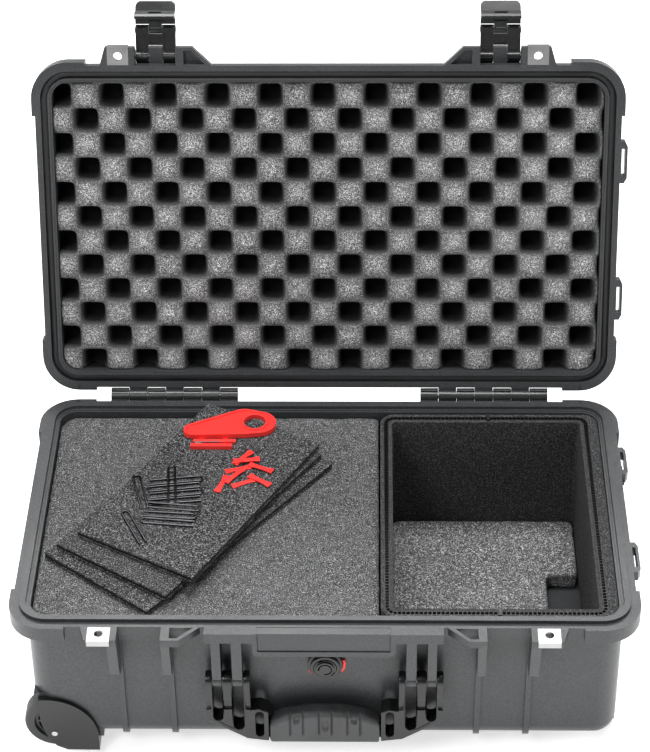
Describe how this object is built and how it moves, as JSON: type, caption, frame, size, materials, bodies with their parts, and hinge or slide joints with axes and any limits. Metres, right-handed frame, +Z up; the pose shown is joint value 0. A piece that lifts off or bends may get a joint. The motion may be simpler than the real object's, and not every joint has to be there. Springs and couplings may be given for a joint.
{
  "type": "hard equipment case",
  "caption": "Wheeled hard case, lid open: padded lid, foam block and divider bay inside, latches, fold-down handles, pressure valve and pull handle.",
  "frame": {"origin": "on the floor, under the middle of the base's sealing flange, on the underside of the pull handle's cover plate", "axes": "+X to the right along the length, towards the pull handle; +Y back towards the lid hinge; +Z up"},
  "size_m": [0.5555, 0.4846, 0.524],
  "materials": {
    "shell": "matte",
    "dark_plastic": "matte",
    "rubber": "matte",
    "tyre": "matte",
    "bright_steel": "satin",
    "tube_metal": "satin",
    "block_foam": "matte",
    "lid_foam": "matte",
    "divider_foam": "matte",
    "red_plastic": "satin",
    "pin_wire": "satin"
  },
  "bodies": {
    "base": {"base_shell": "shell", "base_lock_plates": "bright_steel", "name_plate": "shell", "valve_body": "dark_plastic", "valve_seal": "red_plastic", "hinge_pins": "bright_steel", "front_handle_pins": "bright_steel", "side_handle_pins": "bright_steel", "wheel_bracket_front": "dark_plastic", "wheel_bracket_rear": "dark_plastic", "wheel_axle_front": "bright_steel", "wheel_axle_rear": "bright_steel", "trolley_housing": "dark_plastic", "trolley_cover": "dark_plastic", "trolley_screws": "bright_steel", "trolley_end_frame": "dark_plastic", "trolley_outer_tubes": "tube_metal", "feet": "rubber", "foot_screws": "bright_steel", "base_foam_block": "block_foam", "divider_wall": "divider_foam", "divider_clips": "dark_plastic", "bay_pad": "block_foam", "divider_panel_1": "divider_foam", "divider_panel_2": "divider_foam", "divider_panel_3": "divider_foam", "cutter_body": "red_plastic", "cutter_blade": "red_plastic", "pull_tabs": "red_plastic", "u_pins": "pin_wire"},
    "lid": {"lid_shell": "shell", "lid_gasket": "rubber", "lid_foam": "lid_foam", "lid_lock_plates": "bright_steel", "latch_pivot_pins": "bright_steel"},
    "latch_left": {"latch_link_left": "shell", "lever_pin_left": "bright_steel"},
    "latch_right": {"latch_link_right": "shell", "lever_pin_right": "bright_steel"},
    "lever_left": {"latch_lever_left": "shell"},
    "lever_right": {"latch_lever_right": "shell"},
    "front_handle": {"front_handle_frame": "shell", "front_handle_grip": "rubber"},
    "side_handle": {"side_handle_frame": "shell", "side_handle_grip": "rubber"},
    "trolley_mid": {"trolley_mid_tubes": "tube_metal"},
    "trolley_top": {"trolley_inner_tubes": "tube_metal", "trolley_grip": "rubber"},
    "trolley_release": {"trolley_button": "rubber"},
    "wheel_front": {"wheel_tyre_front": "tyre", "wheel_hub_front": "dark_plastic"},
    "wheel_rear": {"wheel_tyre_rear": "tyre", "wheel_hub_rear": "dark_plastic"},
    "valve_screw": {"valve_knob": "dark_plastic"}
  },
  "joints": [
    {"name": "lid_hinge", "type": "hinge", "parent": "base", "child": "lid", "pos_m": [0, 0.1669, 0.168], "axis": [-1, 0, 0], "range_deg": [-107.3, 0]},
    {"name": "latch_left_hinge", "type": "hinge", "parent": "lid", "child": "latch_left", "pos_m": [-0.1596, 0.28135, 0.4783], "axis": [-1, 0, 0], "range_deg": [-90, 30]},
    {"name": "latch_right_hinge", "type": "hinge", "parent": "lid", "child": "latch_right", "pos_m": [0.1596, 0.28135, 0.4783], "axis": [-1, 0, 0], "range_deg": [-90, 30]},
    {"name": "lever_left_hinge", "type": "hinge", "parent": "latch_left", "child": "lever_left", "pos_m": [-0.1596, 0.29022, 0.50172], "axis": [-1, 0, 0], "range_deg": [0, 60]},
    {"name": "lever_right_hinge", "type": "hinge", "parent": "latch_right", "child": "lever_right", "pos_m": [0.1596, 0.29022, 0.50172], "axis": [-1, 0, 0], "range_deg": [0, 60]},
    {"name": "front_handle_hinge", "type": "hinge", "parent": "base", "child": "front_handle", "pos_m": [0, -0.16, 0.107], "axis": [-1, 0, 0], "range_deg": [0, 90]},
    {"name": "side_handle_hinge", "type": "hinge", "parent": "base", "child": "side_handle", "pos_m": [0.27, 0, 0.126], "axis": [0, -1, 0], "range_deg": [0, 90]},
    {"name": "trolley_mid_slide", "type": "slide", "parent": "base", "child": "trolley_mid", "axis": [1, 0, 0], "range_m": [0, 0.24]},
    {"name": "trolley_top_slide", "type": "slide", "parent": "trolley_mid", "child": "trolley_top", "axis": [1, 0, 0], "range_m": [0, 0.24]},
    {"name": "trolley_release_press", "type": "slide", "parent": "trolley_top", "child": "trolley_release", "axis": [-1, 0, 0], "range_m": [0, 0.002], "stiffness_N_per_m": 600},
    {"name": "wheel_front_spin", "type": "hinge", "parent": "base", "child": "wheel_front", "pos_m": [-0.244, -0.128, 0.0285], "axis": [0, 1, 0], "continuous": true},
    {"name": "wheel_rear_spin", "type": "hinge", "parent": "base", "child": "wheel_rear", "pos_m": [-0.244, 0.128, 0.0285], "axis": [0, 1, 0], "continuous": true},
    {"name": "valve_turn", "type": "hinge", "parent": "base", "child": "valve_screw", "pos_m": [0.0006, -0.1464, 0.1145], "axis": [0, -1, 0], "range_deg": [0, 90]}
  ]
}
